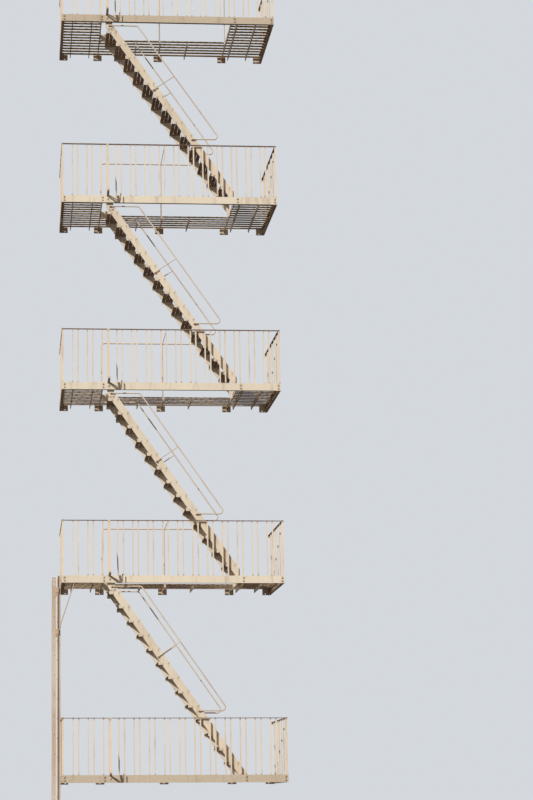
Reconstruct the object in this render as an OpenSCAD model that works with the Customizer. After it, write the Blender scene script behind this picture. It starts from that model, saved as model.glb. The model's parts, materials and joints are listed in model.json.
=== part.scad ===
// Iron fire escape stair: five balconies one above another on a street wall,
// joined by four straight flights, with a drop ladder at the left end of the lowest balcony.
// X runs along the wall to the right as seen from the street, the wall is the plane Y = 0,
// everything hangs on its -Y side, and Z = 0 is the middle of the lowest balcony's beams.

/* [Balconies] */
// Height from one balcony to the next
storey = 3050; // [2800:10:3300]
// Length of a balcony along the wall
balcony_l = 3450; // [3300:10:3900]
// Depth of a balcony from the wall to its front face
balcony_d = 1500; // [1420:10:1650]
// Height of the edge channel
channel_h = 115; // [105:1:125]
// Width of the edge channel's flanges
channel_w = 45; // [40:1:52]
// Thickness of the edge channel
channel_t = 6; // [5:0.5:8]

/* [Floor] */
// Height of the bars that carry the floor
beam_h = 60; // [50:1:70]
// Thickness of the bars that carry the floor
beam_t = 12; // [8:1:16]
// Width of a floor slat
slat_w = 50; // [40:1:56]
// Thickness of a floor slat
slat_t = 10; // [6:1:11]
// Distance from one floor slat to the next
slat_pitch = 105; // [98:1:108]
// Gap between the wall and the first slat
slat_start = 30; // [20:1:40]
// Number of slats in the walkway between the wall and the stair well
walkway_slats = 6; // [5:1:6]
// Distance from the walkway's last slat to the posts along the stair well
guard_gap = 15; // [12:1:24]
// Distance from the left end of a balcony to the stair well
well_from = 655; // [600:5:760]
// Length of the stair well along the wall
well_l = 2105; // [1950:1:2200]
// Distance from the left end to the bar that the middle wall plate holds
mid_beam_at = 1675; // [1620:1:1740]

/* [Wall plates] */
// Width of a wall plate
plate_w = 140; // [120:1:160]
// Height of a wall plate
plate_h = 130; // [126:1:160]
// Thickness of a wall plate
plate_t = 12; // [8:1:16]
// Diameter of a bolt hole
hole_d = 18; // [14:1:20]
// Distance between the two bolt holes of a plate
hole_gap = 90; // [88:1:94]

/* [Railings] */
// Height of the top rail over the edge channel
rail_h = 865; // [800:5:1000]
// Width of the flat top rail
rail_w = 32; // [28:1:40]
// Thickness of the flat top rail
rail_t = 10; // [6:1:14]
// Side of a square baluster
baluster_w = 20; // [14:1:24]
// Distance between the two balusters of a pair
pair_gap = 85; // [70:1:100]
// Distance from one pair of balusters to the next
pair_pitch = 232; // [200:1:260]
// Distance from one baluster of a side railing to the next
side_pitch = 250; // [220:5:280]
// Side of a square corner post
post_w = 28; // [24:1:32]
// Height of a corner post's riveted head over the top rail
post_head = 6; // [4:0.5:8]

/* [Stair] */
// Number of risers in one flight
risers = 14; // [13:1:15]
// Distance from the well's left edge to the stringers' upper edges, at the floor
stair_from = 85; // [60:1:100]
// Width of a stair over its two stringers
stair_w = 614; // [580:2:640]
// Depth of a stringer, square to its slope
stringer_w = 112; // [100:1:125]
// Thickness of a stringer
stringer_t = 10; // [8:1:14]
// Depth of a stringer's level top end under the floor
stair_drop = 160; // [140:5:180]
// Gap between the stair and the edge channel, and thickness of the hangers
stair_gap = 6; // [4:1:12]
// Width of the hanger at a stringer's top end
hanger_w = 110; // [90:1:120]
// Depth to which a hanger laps a stringer's top end
hanger_lap = 60; // [40:1:80]
// Width of the lowest stringers' feet and of the back hangers' tabs
foot_w = 50; // [40:1:70]
// Width of the clips at the other stringers' lower ends
clip_w = 36; // [30:1:38]
// Depth of a tread
tread_d = 180; // [170:1:220]
// Gap between the slats of a tread
tread_gap = 5; // [4:1:20]
// Thickness of a tread's slats
tread_slat_t = 8; // [6:1:12]
// Width of the angle that carries a tread
tread_angle_w = 42; // [30:1:60]
// Thickness of the angle that carries a tread
tread_angle_t = 6; // [4:1:8]

/* [Rods] */
// Diameter of the handrails and of the rails around the wells
rod_d = 20; // [16:1:24]
// Diameter of the upset end by which a rod is bolted to a flat bar
eye_d = 36; // [30:1:42]
// Radius of a rod's bend, on its axis
bend_r = 55; // [40:1:70]
// Distance of a handrail from the stringer, square to the slope
handrail_off = 320; // [280:5:360]
// Depth of a handrail's top end under the floor
handrail_drop = 150; // [120:5:180]
// Height of a handrail's lower end over the floor
handrail_end_h = 990; // [920:5:1060]
// Height of the rail around a well over the floor
guard_h = 880; // [840:5:900]
// Distance along the wall from the top of a flight to its handrails' struts
strut_at = 815; // [700:5:900]
// Gap between a rod and the bar or hanger that it passes
rod_gap = 2; // [1:0.5:4]
// Diameter of a handrail's strut, a brace's hook and the guides' rod
tie_d = 14; // [10:1:16]
// Diameter of the tie between a well's rail and the front top rail
thin_tie_d = 9; // [6:0.5:9.5]

/* [Front braces] */
// Distance from the left end to a front brace
brace_at = 735; // [640:5:760]
// Reach of a front brace out from the balcony
brace_out = 200; // [120:5:260]
// Radius of the bend at a front brace's foot
brace_bend = 50; // [40:1:80]
// Width of the brace's flat bar
brace_w = 36; // [24:1:40]
// Thickness of the brace's flat bar
brace_t = 8; // [6:1:12]
// Distance from the front face to the hook that hangs from a brace
hook_out = 60; // [40:1:80]
// Length of the hook's slanted leg
hook_l = 190; // [150:5:220]
// Tilt of the slanted leg in degrees
hook_tilt = 32; // [20:1:40]
// Radius of the hook's bend, on its axis
hook_bend = 25; // [18:1:35]
// Length of the hook's upright leg
hook_up = 100; // [60:5:140]

/* [Drop ladder] */
// Length of the drop ladder
ladder_l = 3750; // [3600:10:3900]
// Height of the ladder's top over the lowest floor
ladder_top = 3040; // [3000:10:3100]
// Distance between the middles of the ladder's two rails
ladder_w = 400; // [350:5:440]
// Width of a ladder rail
ladder_rail_w = 57; // [45:1:60]
// Thickness of a ladder rail
ladder_rail_t = 10; // [8:1:14]
// Diameter of a rung
rung_d = 20; // [16:1:24]
// Distance from one rung to the next
rung_pitch = 300; // [280:5:320]
// Distance from the front face to the ladder's front rail
ladder_from = 60; // [50:1:80]
// Gap between the balcony and the guides
guide_gap = 15; // [12:1:20]
// Width of a guide's foot, square to the wall
guide_w = 45; // [40:1:50]
// Gap between a guide and the ladder
guide_run = 28; // [24:1:32]
// Depth of the guides' lower ends under the lowest floor
guide_drop = 490; // [450:5:600]
// Height on the front guide at which a thin rod leaves it for the balcony above
guide_rod_from = 2320; // [2200:10:2500]
// Distance from the left end to the thin rod's upper end
guide_rod_at = 195; // [150:5:260]
// Diameter of the eye by which the thin rod is bolted to the guide
tie_eye_d = 22; // [18:1:24]
// Clearance around a guide in its shoe
shoe_gap = 5; // [5:0.5:6]
// Running clearance between a shoe's lips and the guide that they hang on
lip_gap = 0.3; // [0.3:0.1:1]
// Thickness of a shoe's wall
shoe_t = 6; // [5:0.5:8]
// Height of a shoe
shoe_h = 80; // [60:1:100]
// Distance from the ladder's top down to the foot of its upper shoe
shoe_at = 240; // [200:5:300]
// Distance from one shoe of a ladder rail to the next
shoe_pitch = 640; // [500:10:800]
// Length of the slot at the top of a ladder rail
slot_l = 110; // [80:1:140]
// Width of the slot at the top of a ladder rail
slot_w = 20; // [12:1:26]

/* [Hidden] */
$fn = 32;
eps = 1;

// How far a straight rod runs into a bend, and how much a forged bend swells
nip = 4;
upset = 1;

// Places of the bars under the slats, as shares of the stretch to the left of the well,
// the well itself, and the stretch to its right
left_battens = [0.28, 0.76];
well_battens = [0.295, 0.698];
right_battens = [0.16, 0.6];

// Height of the knock in the bent baluster, as a share of its length
knock_share = 0.45;

// Number of straight steps in the bend at a brace's foot
brace_steps = 6;

paint = "#cdbf9c";
paint_shade = "#b9a985";
paint_dark = "#a3946f";

// Heights within one balcony, over the middle of its beams
floor_z = beam_h / 2 + slat_t;
channel_top = channel_h / 2;
rail_top = channel_top + rail_h;
rail_under = rail_top - rail_t;

// Places along the wall, from the balcony's left end
well_to = well_from + well_l;
right_l = balcony_l - well_to;
rail_mid = rail_w / 2;

// Places square to the wall
front_y = -balcony_d;
web_y = front_y + channel_t;
tip_y = front_y + channel_w;
front_rail_y = front_y + rail_mid;
slats_across = floor((balcony_d - channel_w - slat_start - slat_w) / slat_pitch) + 1;
walkway_edge = slat_start + (walkway_slats - 1) * slat_pitch + slat_w;
guard_y = -walkway_edge - guard_gap;
stair_front = tip_y + stair_gap;
stair_back = stair_front + stair_w;

// Places of the posts along the well: off the bar that carries one, and the middle one
post_off = rod_gap + rod_d / 2;
guard_mid_x = mid_beam_at - beam_t / 2 - post_off;

// The slope of a flight, and where the stringers' edges are at the floor
slope = atan(storey / well_l);
stringer_run = stringer_w / sin(slope);
stringer_drop = stringer_w / cos(slope);
riser = storey / risers;
edge_x = well_from + stair_from;
lower_edge_x = edge_x - stringer_run;

// The level top end of a stringer
stair_top = floor_z - stair_drop;
top_run = stair_drop / tan(slope);

function level_z(n) = (n - 1) * storey;

// Puts a balcony's own frame, with its left end at 0, in the place of level n
module at_level(n) {
    translate([-mid_beam_at, 0, level_z(n)]) children();
}

// A box from its low corner to its high corner
module block(low, high) {
    translate(low) cube(high - low);
}

// A flat bar of the given thickness and height that runs square to the wall
module cross_bar(x, from_y, to_y) {
    block([x - beam_t / 2, to_y, -beam_h / 2], [x + beam_t / 2, from_y, beam_h / 2]);
}

// A wall plate with two bolt holes, one over the other at hole_x
module wall_plate(from_x, hole_x) {
    difference() {
        block([from_x, -plate_t, -plate_h / 2], [from_x + plate_w, 0, plate_h / 2]);
        for (side = [-1, 1])
            translate([hole_x, eps, side * hole_gap / 2])
                rotate([90, 0, 0]) cylinder(d = hole_d, h = plate_t + 2 * eps);
    }
}

// A cross bar with its wall plate
module plated_bar(x, to_y) {
    wall_plate(x - plate_w / 2, x);
    cross_bar(x, -plate_t, to_y);
}

// The outline of the edge channel, with its web on the left and its middle at the height 0
module channel_outline() {
    difference() {
        translate([0, -channel_h / 2]) square([channel_w, channel_h]);
        translate([channel_t, -channel_h / 2 + channel_t])
            square([channel_w, channel_h - 2 * channel_t]);
    }
}

// The left end channel, from the wall to the front channel, with its wall plate
module end_channel() {
    translate([0, -plate_t, 0]) rotate([90, 0, 0])
        linear_extrude(-tip_y - plate_t) channel_outline();
    wall_plate(0, (channel_w + plate_w) / 2);
}

// Bars that run from the wall to the front: ends, well trimmers, and battens under the slats
module beams(n) {
    open_well = n > 1;
    color(paint_shade) at_level(n) {
        end_channel();
        translate([balcony_l, 0, 0]) mirror([1, 0, 0]) end_channel();
        for (x = [well_from - beam_t / 2, well_to + beam_t / 2]) plated_bar(x, web_y);
        plated_bar(mid_beam_at, open_well ? guard_y - eye_d / 2 : web_y);
        for (x = concat(left_battens * well_from, [for (share = right_battens) well_to + share * right_l]))
            cross_bar(x, -slat_start, web_y);
        for (share = well_battens)
            cross_bar(well_from + share * well_l, -slat_start, open_well ? -walkway_edge : web_y);
    }
}

// The channel along the front
module front_channel(n) {
    color(paint) at_level(n)
        translate([0, front_y, 0]) rotate([90, 0, 90])
            linear_extrude(balcony_l) channel_outline();
}

// The slats of the floor, left open over the stair well
module floor_slats(n) {
    color(paint_dark) at_level(n)
        for (i = [0 : slats_across - 1]) {
            y = -slat_start - i * slat_pitch;
            spans = n == 1 || i < walkway_slats
                ? [[channel_t, balcony_l - channel_t]]
                : [[channel_t, well_from], [well_to, balcony_l - channel_t]];
            for (s = spans)
                block([s[0], y - slat_w, beam_h / 2], [s[1], y, floor_z]);
        }
}

// A square upright from the edge channel to the top rail
module upright(x, y, w) {
    block([x - w / 2, y - w / 2, channel_top], [x + w / 2, y + w / 2, rail_under]);
}

// An upright that was knocked out of line near its foot
module bent_upright(x, y, w, knock) {
    knee = channel_top + (rail_under - channel_top) * knock_share;
    translate([0, y + w / 2, 0]) rotate([90, 0, 0]) linear_extrude(w)
        polygon([
            [x - w / 2, channel_top], [x + w / 2, channel_top],
            [x + w / 2 + knock, knee], [x + w / 2, rail_under],
            [x - w / 2, rail_under], [x - w / 2 + knock, knee]
        ]);
}

// The places that fit a stretch at a given pitch
function spread(length, pitch) =
    let (count = floor(length / pitch),
         first = (length - (count - 1) * pitch) / 2)
    [for (i = [0 : count - 1]) first + i * pitch];

// The front railing with its corner posts, and one bent baluster on level 2
module front_railing(n) {
    color(paint) at_level(n) {
        block([0, front_y, rail_under], [balcony_l, front_y + rail_w, rail_top]);
        for (x = [rail_mid, balcony_l - rail_mid]) {
            upright(x, front_rail_y, post_w);
            translate([x, front_rail_y, rail_top])
                cylinder(d1 = post_w, d2 = post_w - post_head, h = post_head);
        }
        middles = spread(balcony_l - 2 * rail_w, pair_pitch);
        for (i = [0 : len(middles) - 1], side = [-1, 1]) {
            x = rail_w + middles[i] + side * pair_gap / 2;
            if (n == 2 && i == 3 && side == -1)
                bent_upright(x, front_rail_y, baluster_w, -baluster_w / 2);
            else
                upright(x, front_rail_y, baluster_w);
        }
    }
}

// The left side railing, from the front railing to its wall tab
module side_railing() {
    back = front_y + rail_w;
    block([0, back, rail_under], [rail_w, 0, rail_top]);
    block([0, -plate_t / 2, rail_under - rail_w], [rail_w, 0, rail_under]);
    for (y = spread(-back, side_pitch)) upright(rail_mid, back + y, baluster_w);
}

module side_railings(n) {
    color(paint) at_level(n) {
        side_railing();
        translate([balcony_l, 0, 0]) mirror([1, 0, 0]) side_railing();
    }
}

// A straight rod along +X that carries what follows on its far end
module rod(length, d = rod_d) {
    translate([-nip, 0, 0]) rotate([0, 90, 0]) cylinder(d = d, h = length + 2 * nip);
    translate([length, 0, 0]) children();
}

// A bend of the rod towards -Z that carries what follows on its far end
module bend(angle, r = bend_r, d = rod_d) {
    translate([0, 0, -r]) {
        rotate([90, 0, 0]) rotate([0, 0, 90 - angle]) rotate_extrude(angle = angle)
            translate([r, 0]) circle(d = d + upset);
        rotate([0, angle, 0]) translate([0, 0, r]) children();
    }
}

// A rod's upset end, which is bolted to a flat side at the local plane Y = 0
module rod_eye(reach) {
    rotate([-90, 0, 0]) cylinder(d = eye_d, h = reach);
}

// The bent handrail of a stringer whose side is the local plane Y = 0, with its strut
module handrail() {
    start_x = lower_edge_x + top_run + hanger_w / 2;
    start_z = floor_z - handrail_drop;
    end_x = edge_x + well_l - handrail_end_h / tan(slope) - stringer_run / 2;
    end_z = floor_z - storey + handrail_end_h;
    edge_run = handrail_off / sin(slope);
    top_x = edge_x + handrail_drop / tan(slope) + edge_run;
    low_x = edge_x + well_l - handrail_end_h / tan(slope) + edge_run;
    top_cut = bend_r * tan(slope / 2);
    low_cut = bend_r * tan((180 - slope) / 2);
    slant = (low_x - top_x) / cos(slope);
    side_y = stair_gap + rod_gap + rod_d / 2;
    translate([start_x, side_y, start_z])
        rod(top_x - start_x - top_cut) bend(slope) rod(slant - top_cut - low_cut)
            bend(180 - slope) rod(low_x - end_x - low_cut);
    translate([start_x, stair_gap, start_z]) rod_eye(side_y - stair_gap);
    translate([end_x, 0, end_z]) rod_eye(side_y);
    foot_off = stringer_w - rod_d;
    strut_x = edge_x + strut_at - foot_off * sin(slope);
    strut_z = floor_z - strut_at * tan(slope) - foot_off * cos(slope);
    translate([strut_x, side_y, strut_z])
        rotate([0, slope, 0]) cylinder(d = tie_d, h = handrail_off + foot_off);
    translate([strut_x, 0, strut_z]) rod_eye(side_y);
}

// The outline of a stringer: level at its top, and upright where it meets the well's right edge
module stringer_outline() {
    polygon([
        [edge_x + top_run, stair_top],
        [well_to, floor_z - storey + stair_from * tan(slope)],
        [well_to, floor_z - storey + stair_from * tan(slope) - stringer_drop],
        [lower_edge_x + top_run, stair_top]
    ]);
}

// The outline of the lowest stringers, whose feet stand on the slats
module lowest_outline() {
    polygon([
        [edge_x + top_run, stair_top],
        [edge_x + well_l, floor_z - storey],
        [lower_edge_x + well_l, floor_z - storey],
        [lower_edge_x + top_run, stair_top]
    ]);
}

// The outline of a hanger that laps a stringer's top end, with its upper edge from
// from_x at the height from_z, and its left edge as high as a bar there
module hanger_outline(from_x, from_z) {
    left = lower_edge_x + top_run;
    polygon([
        [from_x, from_z], [left + hanger_w, from_z],
        [left + hanger_w, stair_top - hanger_lap],
        [left + hanger_lap / tan(slope), stair_top - hanger_lap],
        [left, stair_top], [from_x, from_z - beam_h]
    ]);
}

// A clip at the well's right edge, on the stringer's outer side, which is the local plane Y = 0
module end_clip() {
    block([well_to - clip_w, 0, -beam_h / 2], [well_to, tread_angle_t, beam_h / 2]);
    block([well_to - tread_angle_t, tread_angle_t, -beam_h / 2], [well_to, clip_w, beam_h / 2]);
}

// Flight n runs down from level n + 1 to level n
module stringers(n) {
    inner_back = stair_back - stringer_t;
    inner_front = stair_front + stringer_t;
    color(paint) at_level(n + 1) {
        for (y = [stair_back, inner_front])
            translate([0, y, 0]) rotate([90, 0, 0]) linear_extrude(stringer_t)
                if (n == 1) lowest_outline(); else stringer_outline();
        hanger_back = stair_back + stair_gap;
        translate([0, hanger_back, 0]) rotate([90, 0, 0])
            linear_extrude(stair_gap) hanger_outline(well_from, beam_h / 2);
        block([well_from, hanger_back, -beam_h / 2],
              [well_from + tread_angle_t, hanger_back + foot_w, beam_h / 2]);
        translate([0, stair_front, 0]) rotate([90, 0, 0])
            linear_extrude(stair_gap) hanger_outline(lower_edge_x + top_run, channel_top);
        if (n == 1)
            for (y = [inner_back - foot_w, inner_front])
                block([lower_edge_x + well_l, y, floor_z - storey],
                      [edge_x + well_l, y + foot_w, floor_z - storey + tread_angle_t]);
        else
            translate([0, 0, -storey]) {
                translate([0, stair_back, 0]) end_clip();
                translate([0, stair_front, 0]) mirror([0, 1, 0]) end_clip();
            }
    }
}

// One tread: three slats on an angle at each stringer
module tread() {
    length = stair_back - stair_front - 2 * stringer_t;
    slat_w = (tread_d - 2 * tread_gap) / 3;
    for (i = [0 : 2])
        block([i * (slat_w + tread_gap), 0, -tread_slat_t],
              [i * (slat_w + tread_gap) + slat_w, length, 0]);
    for (side = [0, 1])
        translate([0, side * length, 0]) mirror([0, side, 0]) {
            block([0, 0, -tread_slat_t - tread_angle_t], [tread_d, tread_angle_w, -tread_slat_t]);
            block([0, 0, -tread_slat_t - tread_angle_w],
                  [tread_d, tread_angle_t, -tread_slat_t - tread_angle_t]);
        }
}

module treads(n) {
    color(paint_dark) at_level(n + 1)
        for (k = [1 : risers - 1]) {
            z = floor_z - k * riser;
            middle_x = edge_x + k * well_l / risers - stringer_run / 2;
            translate([middle_x - tread_d / 2, stair_front + stringer_t, z]) tread();
        }
}

module handrails(n) {
    color(paint) at_level(n + 1) {
        translate([0, stair_back, 0]) handrail();
        translate([0, stair_front, 0]) mirror([0, 1, 0]) handrail();
    }
}

// The eye at a post's foot, which is bolted to the bar on its left
module post_eye() {
    translate([-post_off, 0, 0]) rotate([0, 90, 0]) cylinder(d = eye_d, h = post_off);
}

// The bent rail along the back of a well, from its left end to the flight that arrives
module well_rail(n) {
    rail_z = floor_z + guard_h;
    post_x = well_from + post_off;
    end_x = edge_x + well_l - guard_h / tan(slope) - stringer_run / 2;
    post_l = rail_z - bend_r;
    color(paint) at_level(n) {
        translate([post_x, guard_y, 0]) post_eye();
        for (x = n < 5 ? [guard_mid_x] : [guard_mid_x, well_to - post_off])
            translate([x, guard_y, 0]) mirror([1, 0, 0]) post_eye();
        translate([guard_mid_x, guard_y, 0]) cylinder(d = rod_d, h = rail_z);
        translate([post_x, guard_y, 0]) rotate([0, -90, 0]) rod(post_l) bend(90)
            if (n < 5)
                rod(end_x - post_x - 2 * bend_r) rotate([-90, 0, 0]) bend(90)
                    rod(guard_y - stair_back - bend_r - nip) rotate([0, 90, 0]) cylinder(d = eye_d, h = nip);
            else
                rod(well_to - post_off - post_x - 2 * bend_r) bend(90) rod(post_l);
    }
}

// A thin tie from the middle post of a well's rail to the back of the front top rail
module front_rail_tie() {
    from = [guard_mid_x, guard_y, floor_z + guard_h - rod_d];
    to = [guard_mid_x, front_y + rail_w, rail_top - rail_t / 2];
    reach = to - from;
    difference() {
        translate(from) rotate([90 - atan(reach[2] / -reach[1]), 0, 0])
            cylinder(d = thin_tie_d, h = norm(reach) + rail_w / 4);
        block(to - [rail_w, rail_w, rail_w], to + [rail_w, 0, rail_w]);
        translate([from[0], from[1], 0]) cylinder(d = rod_d, h = rail_top);
    }
}

module front_rail_ties() {
    color(paint) for (n = [2 : 5]) at_level(n) front_rail_tie();
}

// The points of a flat strip's outline, half its thickness to the left and right of a path
function turn_left(v) = [-v[1], v[0]] / norm(v);
function strip_side(path, off) = [
    for (i = [0 : len(path) - 1])
        let (before = turn_left(path[max(i, 1)] - path[max(i, 1) - 1]),
             after = turn_left(path[min(i + 1, len(path) - 1)] - path[min(i, len(path) - 2)]),
             middle = before + after)
        path[i] + off * 2 * middle / (middle * middle)
];
function strip(path, t) = concat(
    strip_side(path, t / 2),
    [for (i = [len(path) - 1 : -1 : 0]) strip_side(path, -t / 2)[i]]
);

// A flat bar that stands out from the channel's web, turns up, and leans back to the top rail,
// with the rod hook that hangs from its foot
module front_brace() {
    foot_z = channel_top - brace_t;
    top_z = rail_under - brace_w;
    face = front_y - brace_t / 2;
    lean = atan((brace_out - brace_t / 2) / (top_z - foot_z - brace_bend));
    centre = [front_y - brace_out + brace_bend, foot_z + brace_bend];
    path = concat(
        [[front_y, foot_z]],
        [for (i = [0 : brace_steps])
            let (a = 270 - (90 + lean) * i / brace_steps) centre + brace_bend * [cos(a), sin(a)]],
        [[face, top_z], [face, rail_top]]
    );
    translate([brace_at - brace_w / 2, 0, 0]) rotate([90, 0, 90])
        linear_extrude(brace_w) polygon(strip(path, brace_t));
    block([brace_at - brace_w / 2, front_y - brace_t / 2, -brace_w / 2],
          [brace_at + brace_w / 2, front_y, foot_z - brace_t / 2]);
    translate([brace_at, front_y - hook_out, foot_z]) mirror([0, 0, 1]) rotate([0, -hook_tilt, 0])
        rod(hook_l, tie_d) bend(90 + hook_tilt, hook_bend, tie_d) rod(hook_up, tie_d);
}

module front_braces() {
    color(paint) for (n = [1 : 5]) at_level(n) front_brace();
}

// The places of the ladder's two rails, square to the wall
rail_ys = [front_y + ladder_from, front_y + ladder_from + ladder_w];
guide_x = -guide_gap - guide_w;
ladder_x = guide_x - guide_run - ladder_rail_w;

// Two T bars up the balcony's left end, with spacers, and a rod to the balcony above
module ladder_guides() {
    guide_from = floor_z - guide_drop;
    guide_to = storey + channel_top;
    color(paint_shade) translate([-mid_beam_at, 0, 0]) {
        for (y = rail_ys) {
            translate([0, y, guide_from]) linear_extrude(guide_to - guide_from) {
                translate([guide_x, -guide_w / 2]) square([channel_t, guide_w]);
                translate([guide_x, -channel_t / 2]) square([guide_w, channel_t]);
            }
            for (z = [0, storey])
                block([-guide_gap, y - rail_w / 2, z - beam_h / 2],
                      [0, y + rail_w / 2, z + beam_h / 2]);
            block([-guide_gap, y - rail_w / 2, rail_under], [0, y + rail_w / 2, rail_top]);
        }
        guide_rod(
            [-guide_gap - tie_eye_d / 2 - rod_gap, rail_ys[0] - channel_t / 2 - tie_d, guide_rod_from],
            [guide_rod_at, front_y + channel_w / 2, storey - channel_top]);
    }
}

// A thin rod from its eye on a guide's web up to the underside of the channel above
module guide_rod(from, to) {
    translate(from) rotate([-90, 0, 0]) cylinder(d = tie_eye_d, h = tie_d);
    reach = to - from;
    flat = norm([reach[0], reach[1]]);
    difference() {
        translate(from) rotate([0, atan(flat / reach[2]), atan2(reach[1], reach[0])])
            cylinder(d = tie_d, h = norm(reach) + tie_d);
        translate([to[0] - 2 * tie_d, to[1] - 2 * tie_d, to[2]]) cube(4 * tie_d);
    }
}

// The outline of a shoe that holds the foot of a guide, in plan
module shoe_outline() {
    inner_w = guide_w + 2 * shoe_gap;
    inner_d = channel_t + shoe_gap + lip_gap;
    mouth = channel_t + 2 * shoe_gap;
    difference() {
        translate([guide_x - guide_run, -inner_w / 2 - shoe_t])
            square([guide_run + channel_t + lip_gap + shoe_t, inner_w + 2 * shoe_t]);
        translate([guide_x - shoe_gap, -inner_w / 2]) square([inner_d, inner_w]);
        translate([guide_x, -mouth / 2]) square([guide_w, mouth]);
    }
}

// An upright slot with round ends, down from the height 0
module slot_outline() {
    for (z = [-slot_w / 2, slot_w / 2 - slot_l]) translate([0, z]) circle(d = slot_w);
    translate([-slot_w / 2, slot_w / 2 - slot_l]) square([slot_w, slot_l - slot_w]);
}

// The drop ladder, with the shoes that hold it to its guides
module drop_ladder() {
    bottom = floor_z + ladder_top - ladder_l;
    rungs = floor(ladder_l / rung_pitch);
    top = bottom + ladder_l;
    color(paint_shade) translate([-mid_beam_at, 0, 0]) {
        for (y = rail_ys) {
            difference() {
                block([ladder_x, y - ladder_rail_t / 2, bottom],
                      [ladder_x + ladder_rail_w, y + ladder_rail_t / 2, top]);
                translate([ladder_x + ladder_rail_w / 2, y + ladder_rail_t, top - slot_w])
                    rotate([90, 0, 0]) linear_extrude(2 * ladder_rail_t) slot_outline();
            }
            for (drop = [shoe_at, shoe_at + shoe_pitch])
                translate([0, y, top - drop]) linear_extrude(shoe_h) shoe_outline();
        }
        for (i = [1 : rungs])
            translate([ladder_x + ladder_rail_w / 2, rail_ys[1], bottom + (i - 0.5) * rung_pitch])
                rotate([90, 0, 0]) cylinder(d = rung_d, h = ladder_w);
    }
}

for (n = [1 : 5]) {
    beams(n);
    front_channel(n);
    floor_slats(n);
    front_railing(n);
    side_railings(n);
}
for (n = [2 : 5])
    well_rail(n);
for (n = [1 : 4]) {
    stringers(n);
    treads(n);
    handrails(n);
}
front_braces();
front_rail_ties();
ladder_guides();
drop_ladder();
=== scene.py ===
"""Dresses the fire escape stair: weathered paint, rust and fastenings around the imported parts."""
import json
import math

import bmesh
import bpy
from mathutils import Matrix, Vector


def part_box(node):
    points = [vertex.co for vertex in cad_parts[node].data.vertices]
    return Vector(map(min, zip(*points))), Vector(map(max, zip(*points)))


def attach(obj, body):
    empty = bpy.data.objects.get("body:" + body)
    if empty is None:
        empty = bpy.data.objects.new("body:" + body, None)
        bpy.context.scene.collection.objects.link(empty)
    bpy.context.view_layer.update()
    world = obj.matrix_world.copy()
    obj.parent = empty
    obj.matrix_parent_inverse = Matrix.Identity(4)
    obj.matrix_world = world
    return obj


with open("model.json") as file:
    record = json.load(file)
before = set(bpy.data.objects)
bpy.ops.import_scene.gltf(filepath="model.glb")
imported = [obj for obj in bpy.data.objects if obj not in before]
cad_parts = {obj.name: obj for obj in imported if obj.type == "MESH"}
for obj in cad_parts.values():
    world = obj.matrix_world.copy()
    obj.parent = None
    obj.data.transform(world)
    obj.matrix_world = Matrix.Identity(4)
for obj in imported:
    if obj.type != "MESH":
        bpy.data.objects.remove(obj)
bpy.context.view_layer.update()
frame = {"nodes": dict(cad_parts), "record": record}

# Balconies. All sizes are in metres, in the part's own frame
LEVELS, OPEN_LEVELS, FLIGHTS = range(1, 6), range(2, 6), range(1, 5)
TOP_LEVEL = LEVELS[-1]
channel_low, channel_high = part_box("level_1_front_channel")
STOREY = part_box("level_2_front_channel")[0].z - channel_low.z
LEFT, RIGHT, FRONT = channel_low.x, channel_high.x, channel_low.y
BALCONY_L = RIGHT - LEFT
CHANNEL_W, CHANNEL_H = channel_high.y - FRONT, channel_high.z - channel_low.z
WEB_T, BAR_T = 0.006, 0.012
FLOOR_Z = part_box("level_1_floor_slats")[1].z
SLAT_FIRST, SLAT_PITCH, SLATS, WALKWAY_SLATS = 0.055, 0.105, 14, 6

# Stair well and the bars under the floor, as places along the balcony from its left end
WELL_FROM, WELL_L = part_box("level_2_well_rail")[0].x - LEFT, 2.105
WELL_TO = WELL_FROM + WELL_L
SIDE_BARS = [WELL_FROM * share for share in (0.28, 0.76)]
SIDE_BARS += [WELL_TO + share * (BALCONY_L - WELL_TO) for share in (0.16, 0.6)]
LEFT_TRIMMER, RIGHT_TRIMMER = WELL_FROM - BAR_T / 2, WELL_TO + BAR_T / 2
MIDDLE_BARS = [WELL_FROM + WELL_L * share for share in (0.295, 0.698)] + [-LEFT]

# Railings, the rail behind the well and the front braces
RAIL_TOP, RAIL_W, RAIL_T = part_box("level_1_side_railings")[1].z, 0.032, 0.010
PAIR_GAP, PAIR_PITCH, SIDE_PITCH = 0.085, 0.232, 0.250
GUARD_Y, POST_OFF = -0.620, 0.012
BRACE_HALF, BRACE_T = 0.018, 0.008
BRACE_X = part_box("front_braces")[0].x + BRACE_HALF

# Flights
RISERS = 14
RISER, GOING = STOREY / RISERS, WELL_L / RISERS
SLOPE = math.atan(STOREY / WELL_L)
STRINGER_T, STRINGER_W = 0.010, 0.112
STRINGER_RUN = STRINGER_W / math.sin(SLOPE)
STAIR_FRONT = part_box("flight_1_treads")[0].y - STRINGER_T
STAIR_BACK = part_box("flight_1_treads")[1].y + STRINGER_T
EDGE_X = WELL_FROM + 0.085
STAIR_TOP = -0.120
TOP_EDGE_X = EDGE_X + (FLOOR_Z - STAIR_TOP) / math.tan(SLOPE)
HANGER_W, HANGER_T = 0.110, 0.006
TREAD_D, TREAD_GAP, TREAD_SLATS = 0.180, 0.005, 3
TREAD_SLAT_W = (TREAD_D - (TREAD_SLATS - 1) * TREAD_GAP) / TREAD_SLATS
ROD_D, TIE_D = 0.020, 0.014
HANDRAIL_DROP, HANDRAIL_END, STRUT_AT, SIDE_OFF = 0.150, 0.990, 0.815, 0.018

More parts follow.
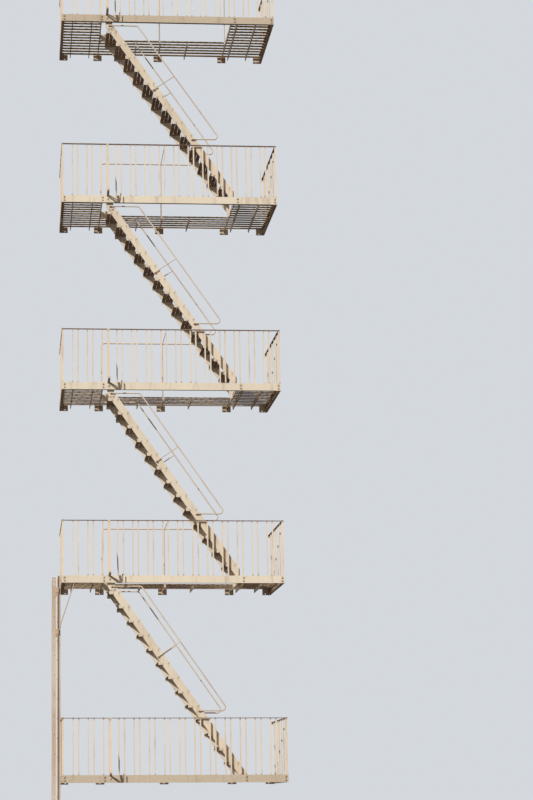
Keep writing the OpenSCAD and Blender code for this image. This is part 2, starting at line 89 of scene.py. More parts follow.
# Drop ladder and its guides
ladder_low, ladder_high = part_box("drop_ladder")
RUNG_PITCH, RUNGS = 0.300, 12
LADDER_RAIL_W, LADDER_RAIL_T = 0.057, 0.010
SHOE_HALF, SHOE_H, SHOE_AT, SHOE_PITCH = 0.0335, 0.080, 0.240, 0.640
SHOE_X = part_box("ladder_guides")[0].x - 0.012
LADDER_RAIL_YS = (ladder_low.y + SHOE_HALF, ladder_high.y - SHOE_HALF)
GUIDE_LUG_X, GUIDE_LUG_T = LEFT - 0.029, 0.006

# Fastenings that rust runs from: the edge channel's pairs of bolts, as places along it and half of the
# height between two, and the rivets of a tread, as (ahead of its middle, under its top)
FASCIA_BOLTS = (0.045, WELL_FROM - 0.003, WELL_TO + 0.052, BALCONY_L - 0.039)
FASCIA_PAIR = 0.026
TREAD_RIVETS = ((0.062, 0.028), (-0.022, 0.036))


def level_z(n):
    """The height of the middle of a balcony's beams."""
    return (n - 1) * STOREY


# Node trees
class Tree:
    """A node tree, with short calls for the nodes that are used here."""

    # The colour sockets of a Mix node, whose names its other sockets share
    MIX_A, MIX_B, MIX_RESULT = 6, 7, 2

    def __init__(self, owner):
        owner.use_nodes = True
        self.tree = owner.node_tree
        self.tree.nodes.clear()

    def add(self, kind, values=None, **settings):
        """A new node, whose sockets take a value or a link from another node's socket."""
        node = self.tree.nodes.new(kind)
        for key, value in settings.items():
            setattr(node, key, value)
        for socket, value in (values or {}).items():
            if isinstance(value, bpy.types.NodeSocket):
                self.tree.links.new(value, node.inputs[socket])
            else:
                node.inputs[socket].default_value = value
        return node

    def math(self, operation, a, b=0.0):
        return self.add("ShaderNodeMath", {0: a, 1: b}, operation=operation).outputs[0]

    def times(self, *factors):
        result = factors[0]
        for factor in factors[1:]:
            result = self.math("MULTIPLY", result, factor)
        return result

    def most(self, *values):
        result = values[0]
        for value in values[1:]:
            result = self.math("MAXIMUM", result, value)
        return result

    def mix(self, factor, a, b):
        """Colour a where factor is 0 and colour b where it is 1."""
        values = {0: factor, self.MIX_A: a, self.MIX_B: b}
        return self.add("ShaderNodeMix", values, data_type="RGBA").outputs[self.MIX_RESULT]

    def band(self, value, start, end, low=0.0, high=1.0):
        """Rises smoothly from low at start to high at end, which may be the smaller one."""
        if start > end:
            start, end, low, high = end, start, high, low
        values = {"Value": value, "From Min": start, "From Max": end, "To Min": low, "To Max": high}
        return self.add("ShaderNodeMapRange", values, interpolation_type="SMOOTHSTEP").outputs[0]


# Camera and light
FOCAL, SENSOR = 78.2, 36.0
SHIFT_X, SHIFT_Y = 0.20, 0.18
PLACE = Vector((-2.325, -27.985, -0.427))
YAW, PITCH, ROLL = math.radians(2.901), math.radians(8.622), math.radians(-0.238)
SUN_DISTANCE = 40
BACKGROUND, WHITE, SOFT_LIGHT = (0.66, 0.69, 0.73, 1), (1.0, 1.0, 1.0, 1), 0.18


def set_camera():
    """The photograph's camera, across the street and low."""
    data = bpy.data.cameras.new("camera")
    data.lens, data.sensor_width = FOCAL, SENSOR
    data.shift_x, data.shift_y = SHIFT_X, SHIFT_Y
    data.clip_end = 500.0
    camera = bpy.data.objects.new("camera", data)
    bpy.context.scene.collection.objects.link(camera)
    ahead = Vector((math.sin(YAW) * math.cos(PITCH), math.cos(YAW) * math.cos(PITCH), math.sin(PITCH)))
    level_right = Vector((math.cos(YAW), -math.sin(YAW), 0))
    level_up = level_right.cross(ahead)
    right = math.cos(ROLL) * level_right + math.sin(ROLL) * level_up
    up = math.cos(ROLL) * level_up - math.sin(ROLL) * level_right
    camera.matrix_world = Matrix.Translation(PLACE) @ Matrix((right, up, -ahead)).transposed().to_4x4()
    bpy.context.scene.camera = camera


def sun(name, strength, angle, azimuth, elevation):
    """A lamp far away. Azimuth 0 stands in front of the wall and 90 at its right end."""
    data = bpy.data.lights.new(name, "SUN")
    data.energy, data.angle = strength, math.radians(angle)
    lamp = bpy.data.objects.new(name, data)
    bpy.context.scene.collection.objects.link(lamp)
    a, e = math.radians(azimuth), math.radians(elevation)
    to_lamp = Vector((math.sin(a) * math.cos(e), -math.cos(a) * math.cos(e), math.sin(e)))
    lamp.rotation_mode = "QUATERNION"
    lamp.rotation_quaternion = to_lamp.to_track_quat("Z", "Y")
    lamp.location = to_lamp * SUN_DISTANCE


def studio_world():
    """Soft white light from all sides, and a pale sky for the camera and for gloss."""
    world = bpy.data.worlds.new("studio")
    bpy.context.scene.world = world
    t = Tree(world)
    paths = t.add("ShaderNodeLightPath").outputs
    seen = t.most(paths["Is Camera Ray"], paths["Is Glossy Ray"], paths["Is Transmission Ray"])
    soft = t.add("ShaderNodeBackground", {"Color": WHITE, "Strength": SOFT_LIGHT})
    shown = t.add("ShaderNodeBackground", {"Color": BACKGROUND, "Strength": 1.0})
    choose = t.add("ShaderNodeMixShader", {0: seen, 1: soft.outputs[0], 2: shown.outputs[0]})
    t.add("ShaderNodeOutputWorld", {"Surface": choose.outputs[0]})


set_camera()
sun("key", strength=3.8, angle=1.5, azimuth=-41.7, elevation=26.5)
sun("fill", strength=0.22, angle=50, azimuth=50, elevation=20)
sun("back_light", strength=1.0, angle=40, azimuth=160, elevation=35)
studio_world()
bpy.context.scene.view_settings.view_transform = "Standard"


# Paint
def srgb(r, g, b):
    """A colour from its 0 to 255 values as a screen shows them."""
    shares = (r / 255, g / 255, b / 255)
    return tuple(v / 12.92 if v <= 0.04045 else ((v + 0.055) / 1.055) ** 2.4 for v in shares) + (1.0,)


DIRT = srgb(150, 128, 103)
# Soot settled on tops. The same dark tone is also painted on undersides as painted shade.
SOOT_AND_SHADE = srgb(92, 80, 68)
RUST_DARK, RUST_BROWN, RUST_ORANGE = srgb(74, 47, 33), srgb(112, 74, 50), srgb(156, 98, 58)
CREAM, PINK = srgb(221, 207, 184), srgb(214, 194, 171)
PAINT_ROUGH, RUST_ROUGH, GLOSS = 0.58, 0.9, 0.22
BUMP_STRENGTH, BUMP_DEPTH, PEEL_DEPTH = 0.55, 0.0015, 0.8


class Paint(Tree):
    """A paint's node tree, with the place and the direction of each point of the surface."""

    def __init__(self, name):
        self.material = bpy.data.materials.new(name)
        super().__init__(self.material)
        self.spot = self.add("ShaderNodeTexCoord").outputs["Object"]
        place = self.add("ShaderNodeSeparateXYZ", {0: self.spot})
        self.x, self.z = place.outputs[0], place.outputs[2]
        normal = self.add("ShaderNodeNewGeometry").outputs["Normal"]
        facing = self.add("ShaderNodeSeparateXYZ", {0: normal})
        self.facing_y, self.facing_z = facing.outputs[1], facing.outputs[2]

    def noise(self, scale, detail, roughness, stretch=(1, 1, 1), shift=0.0):
        """Cloudy noise around 0.5. A larger scale is finer, and shift moves it elsewhere."""
        away = (shift, shift * 0.7, shift * 1.3)
        spot = self.add("ShaderNodeMapping", {"Vector": self.spot, "Location": away, "Scale": stretch})
        values = {"Vector": spot.outputs[0], "Scale": scale, "Detail": detail, "Roughness": roughness}
        return self.add("ShaderNodeTexNoise", values).outputs["Fac"]

    def level_height(self):
        """The height over the middle of the nearest balcony's beams."""
        nearest = self.math("ROUND", self.math("DIVIDE", self.z, STOREY))
        return self.math("SUBTRACT", self.z, self.math("MULTIPLY", nearest, STOREY))

    def near(self, coordinate, places, width):
        """1 at each of the places and 0 at width from them."""
        gap = None
        for place in places:
            to_place = self.math("ABSOLUTE", self.math("SUBTRACT", coordinate, place))
            gap = to_place if gap is None else self.math("MINIMUM", gap, to_place)
        return self.band(gap, width, width * 0.25)


def fascia_drips(p):
    """Rust that runs down the edge channel from its pairs of bolts, and rings round them."""
    run_w, ring_w, ring_h, strength = 0.016, 0.026, 0.024, 0.55
    height = p.level_height()
    bolts = [LEFT + x for x in FASCIA_BOLTS]
    under_bolts = p.times(p.band(height, 0.030, 0.020), p.band(height, -0.060, 0.020))
    runs = p.times(p.near(p.x, bolts, run_w), under_bolts)
    rings = p.times(p.near(p.x, bolts, ring_w), p.near(height, [FASCIA_PAIR, -FASCIA_PAIR], ring_h))
    return p.times(p.most(runs, rings), strength)


def stringer_drips(p):
    """Rust that runs down from the two rivets of each tread."""
    run_w, run_l, strength = 0.016, 0.080, 0.5
    along = p.math("SUBTRACT", p.x, LEFT + EDGE_X)
    in_step = p.math("FLOORED_MODULO", along, GOING)
    above_floor = p.math("FLOORED_MODULO", p.math("SUBTRACT", p.z, FLOOR_Z), STOREY)
    nosing = p.math("SUBTRACT", STOREY, p.math("MULTIPLY", along, math.tan(SLOPE)))
    under = p.math("SUBTRACT", nosing, above_floor)
    runs = []
    for ahead_of_middle, drop in TREAD_RIVETS:
        x = ahead_of_middle - STRINGER_RUN / 2
        depth = drop - x * math.tan(SLOPE)
        top, tail = p.band(under, depth - 0.012, depth), p.band(under, depth + run_l, depth + 0.010)
        runs.append(p.times(p.near(in_step, [x % GOING], run_w), top, tail))
    return p.times(p.most(*runs), strength)


def upright_ends(p):
    """Rust where balusters stand on the channel, here and there, and where they meet the top rail."""
    head_strength = 0.7
    height = p.level_height()
    here = p.band(p.noise(3.1, 2.0, 0.5, shift=21.0), 0.46, 0.60)
    foot = p.times(p.band(height, 0.046, 0.052), p.band(height, 0.090, 0.055), here)
    head = p.times(p.band(height, 0.870, 0.912), head_strength)
    return p.most(foot, head)


def top_rail(p):
    """The flat top rail, painted rust brown: partly wear from hands and weather, partly painted shade of
    its underside.
    """
    under_rail = RAIL_TOP - RAIL_T
    return p.band(p.level_height(), under_rail - 0.002, under_rail)


def brace_hooks(p):
    """The rod hooks at the braces' feet, painted dark rust: partly rust, partly painted shade."""
    brace_side = BRACE_X + BRACE_HALF
    return p.band(p.x, brace_side + 0.001, brace_side + 0.003)


def end_levels(p):
    """The lowest and the top balcony, whose paint is darker."""
    lowest = p.band(p.z, 0.7 * STOREY, 0.4 * STOREY)
    top = p.band(p.z, 3.4 * STOREY, 3.6 * STOREY)
    return p.most(lowest, top)


def rust_colour(p, mottle, shift):
    """Dark and brown rust in fine grains, with orange blooms."""
    grains = p.noise(60.0, 4.0, 0.6, shift=shift + 9)
    rust = p.mix(p.band(grains, 0.42, 0.62), RUST_DARK, RUST_BROWN)
    return p.mix(p.band(mottle, 0.54, 0.72), rust, RUST_ORANGE)


def surface(p, colour, rough, height):
    """The shader of an old paint from its colour, its roughness and the height of its bumps."""
    bump = p.add("ShaderNodeBump", {"Strength": BUMP_STRENGTH, "Distance": BUMP_DEPTH, "Height": height})
    shader = p.add("ShaderNodeBsdfPrincipled", {
        "Base Color": colour, "Roughness": rough, "Metallic": 0.0, "Specular IOR Level": GLOSS,
        "Normal": bump.outputs[0]})
    p.add("ShaderNodeOutputMaterial", {"Surface": shader.outputs[0]})


def paint(name, base, shade, flecks, under, under_from=-0.15, top=0.3, drips=None, wear_and_shade=None,
          end_darkening=0.0, front=None, shift=0.0):
    """Old oil paint on iron: two tones, dirt, rust and painted shade from below, and flecks where it has
    peeled.

    front is the tone of faces that look at the street. flecks, under, top and end_darkening say how much
    has peeled, how much rust and painted shade darken the underside, how much dirt has settled and how much
    darker the end levels are. under_from is how far a face looks down before it darkens. drips and
    wear_and_shade are places with rust of their own, partly painted shade on the top rail and the braces'
    hooks, and shift keeps two paints from the same pattern.
    """
    p = Paint(name)
    clouds = p.noise(0.9, 4.0, 0.6, shift=shift)
    streaks = p.noise(9.0, 5.0, 0.65, (1, 1, 0.22), shift + 3)
    mottle = p.noise(34.0, 5.0, 0.7, shift=shift + 5)
    damp = p.noise(4.5, 5.0, 0.65, shift=shift + 7)
    patches = p.band(p.noise(2.6, 3.0, 0.6, shift=shift + 11), 0.44, 0.66)
    grain = p.noise(48.0, 8.0, 0.75, shift=shift + 13)
    lumps = p.noise(120.0, 4.0, 0.6, shift=shift + 15)
    rust = rust_colour(p, mottle, shift)

    colour = p.mix(p.band(clouds, 0.38, 0.64), base, shade)
    if front is not None:
        colour = p.mix(p.band(p.facing_y, -0.4, -0.8), colour, front)
    colour = p.mix(p.times(p.band(streaks, 0.50, 0.74), 0.42), colour, DIRT)
    # The lowest and the top balcony are painted darker.
    if end_darkening:
        darker_ends = p.times(end_levels(p), p.band(mottle, 0.25, 0.60, 0.6, 1.0), end_darkening)
        colour = p.mix(darker_ends, colour, DIRT)
    settled = p.times(p.band(p.facing_z, 0.35, 0.85), p.band(mottle, 0.30, 0.62), top)
    colour = p.mix(settled, colour, SOOT_AND_SHADE)
    # Painted shade and rust: faces that look down are darkened towards soot and rust. This is partly real
    # rust and partly stands in for the shade under things.
    looks_down = p.band(p.facing_z, under_from, under_from - 0.55)
    below = p.times(looks_down, p.band(damp, 0.22, 0.60, 0.55, 1.0), under)
    colour = p.mix(below, colour, p.mix(p.band(mottle, 0.40, 0.66), SOOT_AND_SHADE, rust))

    peeled = p.times(p.band(grain, 0.60, 0.66), patches, flecks)
    stain = peeled
    if drips is not None:
        stain = p.most(stain, p.times(drips(p), p.band(mottle, 0.34, 0.56, 0.25, 0.9)))
    # Rust on given places. On the top rail and the braces' hooks it is partly painted shade.
    if wear_and_shade is not None:
        stain = p.most(stain, p.times(wear_and_shade(p), p.band(grain, 0.36, 0.60, 0.55, 0.95)))
    colour = p.mix(stain, colour, rust)

    rough = p.band(p.most(stain, below, settled), 0.0, 1.0, PAINT_ROUGH, RUST_ROUGH)
    height = p.math("ADD", p.times(lumps, 0.5), p.times(grain, 0.5))
    surface(p, colour, rough, p.math("SUBTRACT", height, p.times(peeled, PEEL_DEPTH)))
    return p.material


paints = {
    "channel_paint": paint(
        "channel_paint", CREAM, srgb(216, 201, 178), flecks=0.45, under=0.85, top=0.4,
        drips=fascia_drips, end_darkening=0.55, shift=0.0),
    "railing_paint": paint(
        "railing_paint", CREAM, PINK, flecks=0.6, under=0.9, drips=upright_ends, wear_and_shade=top_rail, shift=2.0),
    "stringer_paint": paint(
        "stringer_paint", srgb(217, 202, 179), srgb(207, 190, 166), flecks=0.55, under=0.85, top=0.4,
        drips=stringer_drips, shift=4.0),
    "rod_paint": paint(
        "rod_paint", srgb(214, 196, 174), srgb(200, 178, 156), flecks=0.45, under=0.6, under_from=-0.2,
        top=0.1, shift=6.0),
    "beam_paint": paint(
        "beam_paint", srgb(204, 186, 160), srgb(166, 142, 116), flecks=0.8, under=0.9, top=0.5, shift=8.0),
    "floor_paint": paint(
        "floor_paint", srgb(176, 156, 128), srgb(128, 106, 84), flecks=0.9, under=0.8, top=0.6, shift=10.0),
    "tread_paint": paint(
        "tread_paint", srgb(154, 130, 104), srgb(120, 96, 76), flecks=0.9, under=0.7, top=0.6,
        front=srgb(212, 197, 174), shift=12.0),
    "ladder_paint": paint(
        "ladder_paint", srgb(202, 183, 161), srgb(184, 160, 136), flecks=0.7, under=0.7, top=0.2,
        shift=14.0),
}
brace_paint = paint(
    "brace_paint", srgb(206, 188, 164), PINK, flecks=0.6, under=0.8, top=0.2, wear_and_shade=brace_hooks, shift=16.0)


def paint_nodes():
    """Gives each part its slot's paint, and the front braces their own."""
    slot_of = {row["node"]: row["material_slot"] for row in frame["record"]["subparts"]}
    for name, node in frame["nodes"].items():
        for slot in node.material_slots:
            slot.material = brace_paint if name == "front_braces" else paints[slot_of[name]]


# Forms of the fastenings. They sink a little into what they sit on
SINK = 0.001


def lathe(profile, sides):
    """A closed turned shell from (radius, height) pairs, bottom first, as (points, faces)."""
    points, faces = [], []
    for radius, height in profile:
        for i in range(sides):
            a = 2 * math.pi * i / sides
            points.append(Vector((radius * math.cos(a), radius * math.sin(a), height)))
    for ring in range(len(profile) - 1):
        low = ring * sides
        for i in range(sides):
            j = (i + 1) % sides
            faces.append((low + i, low + j, low + sides + j, low + sides + i))
    faces.append(tuple(reversed(range(sides))))
    faces.append(tuple(range((len(profile) - 1) * sides, len(profile) * sides)))
    return points, faces


def rivet(radius, height):
    """A round rivet head that stands on the plane 0."""
    arc = [(radius * math.cos(a), height * math.sin(a)) for a in (0.0, 0.45, 0.85, 1.25)]
    return lathe([(radius, -SINK)] + arc, 10)


def hex_head(across, height, washer_r):
    """A hexagon head with chamfered corners on a round washer."""
    washer_t, washer_rim, washer_ease = 0.003, 0.0022, 0.0012
    side_share, top_share = 0.82, 0.84
    washer = lathe([(washer_r, -SINK), (washer_r, washer_rim), (washer_r - washer_ease, washer_t)], 16)
    r = across / math.sqrt(3)
    side = [(r, washer_t - SINK), (r, washer_t + height * side_share)]
    head = lathe(side + [(r * top_share, washer_t + height)], 6)
    count = len(washer[0])
    return washer[0] + head[0], washer[1] + [tuple(i + count for i in f) for f in head[1]]


def slab(size, bevel):
    """A plate with eased edges, centred on 0."""
    bm = bmesh.new()
    bmesh.ops.create_cube(bm, size=1.0)
    bmesh.ops.scale(bm, vec=size, verts=bm.verts)
    bmesh.ops.bevel(bm, geom=bm.edges[:], offset=bevel, segments=1, affect="EDGES")
    bm.verts.index_update()
    points = [v.co.copy() for v in bm.verts]
    faces = [tuple(v.index for v in f.verts) for f in bm.faces]
    bm.free()
    return points, faces


TO_STREET, TO_WALL, TO_LEFT, TO_RIGHT, UP = (0, -1, 0), (0, 1, 0), (-1, 0, 0), (1, 0, 0), (0, 0, 1)


class Shell:
    """Many stamped copies of small closed forms, joined into one piece."""

    SPIN_PER_FACE = 0.37
    SHARP_ANGLE = math.radians(38)

    def __init__(self):
        self.points, self.faces = [], []

    def stamp(self, form, at, axis=UP, spin=None):
        """Adds a form with its top along axis. Without a spin each one is turned differently."""
        turn = len(self.faces) * self.SPIN_PER_FACE if spin is None else spin
        stand = Vector(UP).rotation_difference(Vector(axis)).to_matrix()
        rotation = stand @ Matrix.Rotation(turn, 3, "Z")
        start = len(self.points)
        self.points += [rotation @ p + Vector(at) for p in form[0]]
        self.faces += [tuple(i + start for i in f) for f in form[1]]

    def piece(self, name, slot, body="fire_escape"):
        """Makes the piece, which rides on a body and takes a slot's paint."""
        mesh = bpy.data.meshes.new(name)
        mesh.from_pydata([tuple(p) for p in self.points], [], self.faces)
        mesh.validate()
        mesh.polygons.foreach_set("use_smooth", [True] * len(mesh.polygons))
        mesh.set_sharp_from_angle(angle=self.SHARP_ANGLE)
        piece = bpy.data.objects.new(name, mesh)
        bpy.context.scene.collection.objects.link(piece)
        piece.data.materials.append(paints[slot])
        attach(piece, body)


bolt = hex_head(across=0.019, height=0.009, washer_r=0.014)
nut = hex_head(across=0.017, height=0.010, washer_r=0.012)
small_rivet, big_rivet, rung_rivet = rivet(0.007, 0.0035), rivet(0.010, 0.006), rivet(0.013, 0.005)


# Fastenings of the balconies
def fascia_bolts():
    """Bolts of the trimmers and corners, through the edge channel's web, and nuts behind it."""
    nut_off = 0.02
    shell = Shell()
    for n in LEVELS:
        for x in FASCIA_BOLTS:
            nut_x = LEFT + x + (nut_off if x < WELL_FROM else -nut_off)
            for z in (level_z(n) + FASCIA_PAIR, level_z(n) - FASCIA_PAIR):
                shell.stamp(bolt, (LEFT + x, FRONT, z), TO_STREET)
                shell.stamp(nut, (nut_x, FRONT + WEB_T, z), TO_WALL)
    shell.piece("fascia_bolts", "channel_paint")


def beam_clips():
    """Angle clips that hold the bars' ends to the edge channel, on the sides away from the well."""
    clip_t, clip_l, clip_h, ease, rivet_at = 0.006, 0.038, 0.046, 0.0012, 0.62
    leg, foot = slab((clip_t, clip_l, clip_h), ease), slab((clip_l, clip_t, clip_h), ease)
    y = FRONT + WEB_T
    shell = Shell()
    for n in LEVELS:
        z = level_z(n)
        for x in SIDE_BARS + [LEFT_TRIMMER, RIGHT_TRIMMER] + (MIDDLE_BARS if n == 1 else []):
            out = -1 if x < WELL_FROM else 1
            face = LEFT + x + out * BAR_T / 2
            shell.stamp(leg, (face + out * clip_t / 2, y + clip_l / 2, z), spin=0)
            shell.stamp(foot, (face + out * clip_l / 2, y + clip_t / 2, z), spin=0)
            shell.stamp(small_rivet, (face + out * clip_t, y + clip_l * rivet_at, z), (out, 0, 0))
            shell.stamp(small_rivet, (face + out * clip_l * rivet_at, y + clip_t, z), TO_WALL)
    shell.piece("beam_clips", "beam_paint")


def channel_end_plates():
    """Plates that close the ends of the edge channels."""
    plate_t, gap, ease, inset = 0.004, 0.002, 0.0008, 0.004
    plate = slab((plate_t, CHANNEL_W - WEB_T - gap, CHANNEL_H - 2 * WEB_T), ease)
    shell = Shell()
    for n in LEVELS:
        for x in (LEFT + inset, RIGHT - inset):
            shell.stamp(plate, (x, FRONT + (CHANNEL_W + WEB_T) / 2, level_z(n)), spin=0)
    shell.piece("channel_end_plates", "channel_paint")


def slat_rivets():
    """Rivets that hold the floor slats to the bars, set back where a slat ends at the well."""
    set_back = 0.012
    shell = Shell()
    for n in LEVELS:
        for i in range(SLATS):
            whole = n == 1 or i < WALKWAY_SLATS
            back = 0.0 if whole else set_back
            bars = SIDE_BARS + [LEFT_TRIMMER - back, RIGHT_TRIMMER + back] + (MIDDLE_BARS if whole else [])
            for x in bars:
                shell.stamp(small_rivet, (LEFT + x, -SLAT_FIRST - i * SLAT_PITCH, level_z(n) + FLOOR_Z))
    shell.piece("slat_rivets", "floor_paint")


def spread(length, pitch):
    """The places that fit a stretch at a given pitch."""
    count = int(length / pitch)
    first = (length - (count - 1) * pitch) / 2
    return [first + i * pitch for i in range(count)]


def rail_rivets():
    """Rivet heads on the top rails, over the balusters."""
    shell = Shell()
    for n in LEVELS:
        z = level_z(n) + RAIL_TOP
        for place in spread(BALCONY_L - 2 * RAIL_W, PAIR_PITCH):
            middle = LEFT + RAIL_W + place
            for x in (middle - PAIR_GAP / 2, middle + PAIR_GAP / 2):
                shell.stamp(small_rivet, (x, FRONT + RAIL_W / 2, z))
        for place in spread(-FRONT - RAIL_W, SIDE_PITCH):
            for x in (LEFT + RAIL_W / 2, RIGHT - RAIL_W / 2):
                shell.stamp(small_rivet, (x, FRONT + RAIL_W + place, z))
    shell.piece("rail_rivets", "railing_paint")


def rail_lug_screws():
    """Screws through the side rails' lugs into the wall."""
    lug_t = 0.006
    shell = Shell()
    for n in LEVELS:
        z = level_z(n) + RAIL_TOP - RAIL_T - RAIL_W / 2
        for x in (LEFT + RAIL_W / 2, RIGHT - RAIL_W / 2):
            shell.stamp(big_rivet, (x, -lug_t, z), TO_STREET)
    shell.piece("rail_lug_screws", "railing_paint")


def well_rail_rivets():
    """Rivets through the eyes at the feet of the posts behind the well."""
    drop = 0.008
    shell = Shell()
    for n in OPEN_LEVELS:
        z = level_z(n) - drop
        shell.stamp(big_rivet, (LEFT + WELL_FROM + POST_OFF, GUARD_Y, z), TO_RIGHT)
        shell.stamp(big_rivet, (-BAR_T / 2 - POST_OFF, GUARD_Y, z), TO_LEFT)
        if n == TOP_LEVEL:
            shell.stamp(big_rivet, (LEFT + WELL_TO - POST_OFF, GUARD_Y, z), TO_LEFT)
    shell.piece("well_rail_rivets", "rod_paint")


def brace_bolts():
    """A rivet at each front brace's top and a bolt at its foot."""
    under_rail, over_middle = 0.022, 0.004
    shell = Shell()
    for n in LEVELS:
        top, foot = level_z(n) + RAIL_TOP - under_rail, level_z(n) + over_middle
        shell.stamp(big_rivet, (BRACE_X, FRONT - BRACE_T, top), TO_STREET)
        shell.stamp(bolt, (BRACE_X, FRONT - BRACE_T / 2, foot), TO_STREET)
    shell.piece("brace_bolts", "channel_paint")


# Fastenings of the flights
def treads():
    """The x of the middle and the height of the top of every tread."""
    for n in FLIGHTS:
        for k in range(1, RISERS):
            yield LEFT + EDGE_X + k * GOING - STRINGER_RUN / 2, level_z(n + 1) + FLOOR_Z - k * RISER


def stringer_rivets():
    """Rivets of the treads' angles, outside the stringers."""
    shell = Shell()
    for middle, z in treads():
        for ahead_of_middle, drop in TREAD_RIVETS:
            shell.stamp(big_rivet, (middle + ahead_of_middle, STAIR_FRONT, z - drop), TO_STREET)
            shell.stamp(big_rivet, (middle + ahead_of_middle, STAIR_BACK, z - drop), TO_WALL)
    shell.piece("stringer_rivets", "stringer_paint")


def tread_rivets():
    """Rivets at both ends of each slat of the treads."""
    inset = STRINGER_T + 0.022
    shell = Shell()
    for middle, z in treads():
        for i in range(TREAD_SLATS):
            x = middle - TREAD_D / 2 + TREAD_SLAT_W / 2 + i * (TREAD_SLAT_W + TREAD_GAP)
            for y in (STAIR_FRONT + inset, STAIR_BACK - inset):
                shell.stamp(small_rivet, (x, y, z))
    shell.piece("tread_rivets", "tread_paint")


def handrail_nuts():
    """Nuts on the bolted ends of the handrails and on the feet of their struts."""
    rod_out, strut_out = SIDE_OFF + ROD_D / 2 - SINK, SIDE_OFF + TIE_D / 2 - SINK
    foot_off = STRINGER_W - ROD_D
    top = (TOP_EDGE_X - STRINGER_RUN + HANGER_W / 2, -HANDRAIL_DROP, rod_out)
    end_x = EDGE_X + WELL_L - HANDRAIL_END / math.tan(SLOPE) - STRINGER_RUN / 2
    end = (end_x, HANDRAIL_END - STOREY, rod_out)
    strut_x = EDGE_X + STRUT_AT - foot_off * math.sin(SLOPE)
    strut_z = -STRUT_AT * math.tan(SLOPE) - foot_off * math.cos(SLOPE)
    shell = Shell()
    for n in FLIGHTS:
        floor = level_z(n + 1) + FLOOR_Z
        for x, z, out in (top, end, (strut_x, strut_z, strut_out)):
            shell.stamp(nut, (LEFT + x, STAIR_FRONT - out, floor + z), TO_STREET)
            shell.stamp(nut, (LEFT + x, STAIR_BACK + out, floor + z), TO_WALL)
    shell.piece("handrail_nuts", "rod_paint")


def stair_end_bolts():
    """Bolts of the stringers' hangers and rivets of their tabs and of the clips at their lower ends."""
    hanger_bolts, bolt_drop = (0.45, 0.82), 0.036
    tab_reach, clip_reach, leg_t, rivet_at, rivet_z = 0.050, 0.036, 0.006, 0.6, 0.015
    shell = Shell()
    for n in OPEN_LEVELS:
        for share in hanger_bolts:
            x = LEFT + TOP_EDGE_X - STRINGER_RUN + share * HANGER_W
            z = level_z(n) + STAIR_TOP - bolt_drop
            shell.stamp(bolt, (x, STAIR_FRONT - HANGER_T, z), TO_STREET)
            shell.stamp(bolt, (x, STAIR_BACK + HANGER_T, z), TO_WALL)
        tab_x, tab_y = LEFT + WELL_FROM + leg_t, STAIR_BACK + HANGER_T + tab_reach * rivet_at
        for z in (level_z(n) + rivet_z, level_z(n) - rivet_z):
            shell.stamp(small_rivet, (tab_x, tab_y, z), TO_RIGHT)
        if n == TOP_LEVEL:
            continue
        z = level_z(n)
        for y, out in ((STAIR_FRONT, -1), (STAIR_BACK, 1)):
            on_stringer = (LEFT + WELL_TO - clip_reach * rivet_at, y + out * leg_t, z)
            on_trimmer = (LEFT + WELL_TO - leg_t, y + out * clip_reach * rivet_at, z)
            shell.stamp(small_rivet, on_stringer, (0, out, 0))
            shell.stamp(small_rivet, on_trimmer, TO_LEFT)
    shell.piece("stair_end_bolts", "stringer_paint")


def stair_foot_bolts():
    """Bolts of the lowest flight's feet, which stand on the floor."""
    foot_t, inset = 0.006, STRINGER_T + 0.028
    stair_end = LEFT + EDGE_X + WELL_L
    shell = Shell()
    for y in (STAIR_BACK - inset, STAIR_FRONT + inset):
        for share in (0.75, 0.25):
            shell.stamp(bolt, (stair_end - STRINGER_RUN * share, y, FLOOR_Z + foot_t))
    shell.piece("stair_foot_bolts", "stringer_paint")


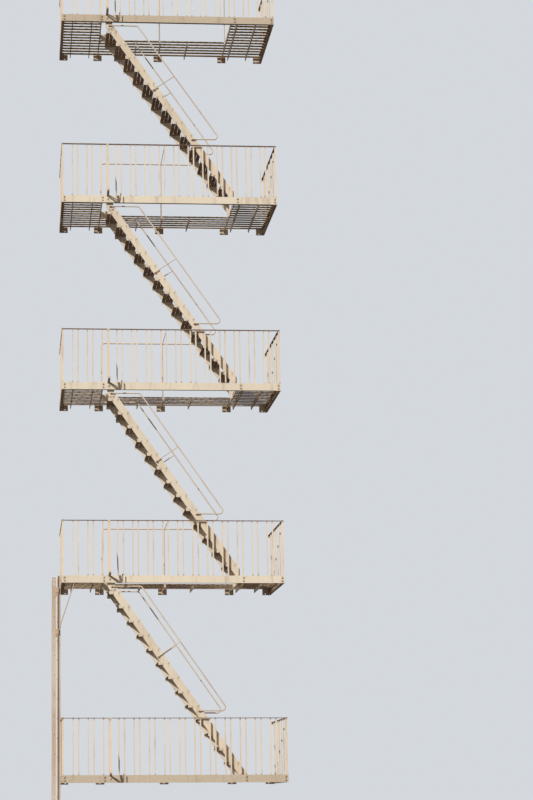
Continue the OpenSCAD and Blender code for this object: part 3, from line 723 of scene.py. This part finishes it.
# Fastenings of the drop ladder
def ladder_rivets():
    """Rivets of the rungs and of the shoes, which move with the ladder."""
    from_end = 0.018
    front_y, back_y = LADDER_RAIL_YS
    shell = Shell()
    for i in range(RUNGS):
        x, z = ladder_low.x + LADDER_RAIL_W / 2, ladder_low.z + (i + 0.5) * RUNG_PITCH
        shell.stamp(rung_rivet, (x, front_y - LADDER_RAIL_T / 2, z), TO_STREET)
        shell.stamp(rung_rivet, (x, back_y + LADDER_RAIL_T / 2, z), TO_WALL)
    for y in LADDER_RAIL_YS:
        for drop in (SHOE_AT, SHOE_AT + SHOE_PITCH):
            shoe_z = ladder_high.z - drop
            for z in (shoe_z + from_end, shoe_z + SHOE_H - from_end):
                shell.stamp(small_rivet, (SHOE_X, y - SHOE_HALF, z), TO_STREET)
                shell.stamp(small_rivet, (SHOE_X, y + SHOE_HALF, z), TO_WALL)
    shell.piece("ladder_rivets", "ladder_paint", "drop_ladder")


def guide_rivets():
    """Rivets of the guide bars' lugs at the channels and at the lowest top rail."""
    half, under_rail = 0.014, 0.030
    shell = Shell()
    for y in LADDER_RAIL_YS:
        for z in (half, -half, RAIL_TOP - under_rail, STOREY + half, STOREY - half):
            shell.stamp(small_rivet, (GUIDE_LUG_X, y - GUIDE_LUG_T / 2, z), TO_STREET)
            shell.stamp(small_rivet, (GUIDE_LUG_X, y + GUIDE_LUG_T / 2, z), TO_WALL)
    shell.piece("guide_rivets", "ladder_paint")


# Floor of the picture
def stage_floor():
    """A pale disc below the lowered ladder, whose light on the object is that of a darker street."""
    seen, bounce, radius, height = (0.60, 0.62, 0.65, 1), (0.28, 0.24, 0.21, 1), 70.0, -3.30
    bm = bmesh.new()
    bmesh.ops.create_circle(bm, cap_ends=True, segments=96, radius=radius)
    mesh = bpy.data.meshes.new("floor")
    bm.to_mesh(mesh)
    bm.free()
    floor = bpy.data.objects.new("floor", mesh)
    floor.location = (0.0, 0.0, height)
    bpy.context.scene.collection.objects.link(floor)
    material = bpy.data.materials.new("floor")
    t = Tree(material)
    colour = t.mix(t.add("ShaderNodeLightPath").outputs["Is Camera Ray"], bounce, seen)
    shader = t.add("ShaderNodeBsdfPrincipled", {"Base Color": colour, "Roughness": 0.9})
    t.add("ShaderNodeOutputMaterial", {"Surface": shader.outputs[0]})
    floor.data.materials.append(material)


paint_nodes()
fascia_bolts()
beam_clips()
channel_end_plates()
slat_rivets()
rail_rivets()
rail_lug_screws()
stringer_rivets()
tread_rivets()
handrail_nuts()
stair_end_bolts()
well_rail_rivets()
brace_bolts()
stair_foot_bolts()
ladder_rivets()
guide_rivets()
stage_floor()
